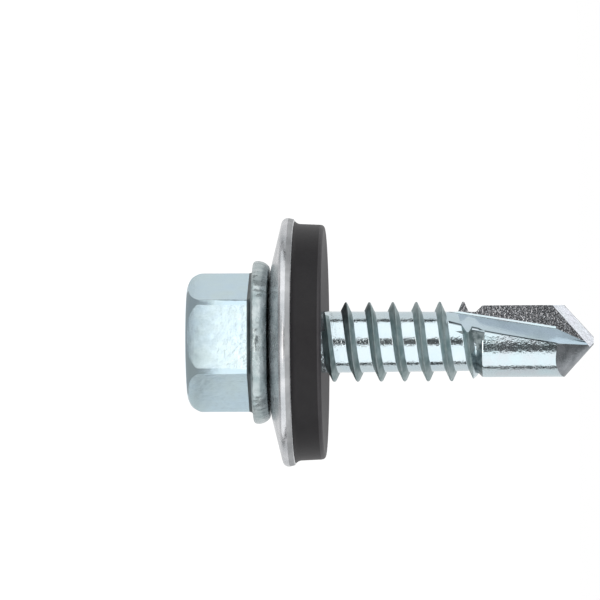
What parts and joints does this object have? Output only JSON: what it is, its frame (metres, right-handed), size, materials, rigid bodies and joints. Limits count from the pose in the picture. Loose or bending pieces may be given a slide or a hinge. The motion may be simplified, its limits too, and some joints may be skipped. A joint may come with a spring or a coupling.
{
  "type": "self-drilling screw with sealing washer",
  "caption": "Self-drilling screw with a hexagon flange head, a spaced right-hand thread, a fluted drill point and a sealing washer that turns on its neck.",
  "frame": {"origin": "on the screw's axis, at the rim of the head's top, which is the face that the screw stands on", "axes": "+Z along the screw's axis, from the head to the drill's tip; +X and +Y across it, with the two drill lips close to the X direction"},
  "size_m": [0.0194, 0.0192, 0.0315],
  "materials": {
    "zinc_plated_steel": "bright zinc plating with a faint blue cast, cold-forged streaks on the head and fine forging grain in the flutes",
    "galvanised_steel": "satin galvanised sheet, pressed",
    "seal_rubber": "matt black moulded rubber"
  },
  "bodies": {
    "screw": {"screw": "zinc_plated_steel"},
    "washer": {"steel_washer": "galvanised_steel", "rubber_seal": "seal_rubber"}
  },
  "joints": [
    {"name": "washer_turn", "type": "hinge", "parent": "screw", "child": "washer", "pos_m": [0, 0, 0.0085], "axis": [0, 0, 1], "continuous": true}
  ]
}
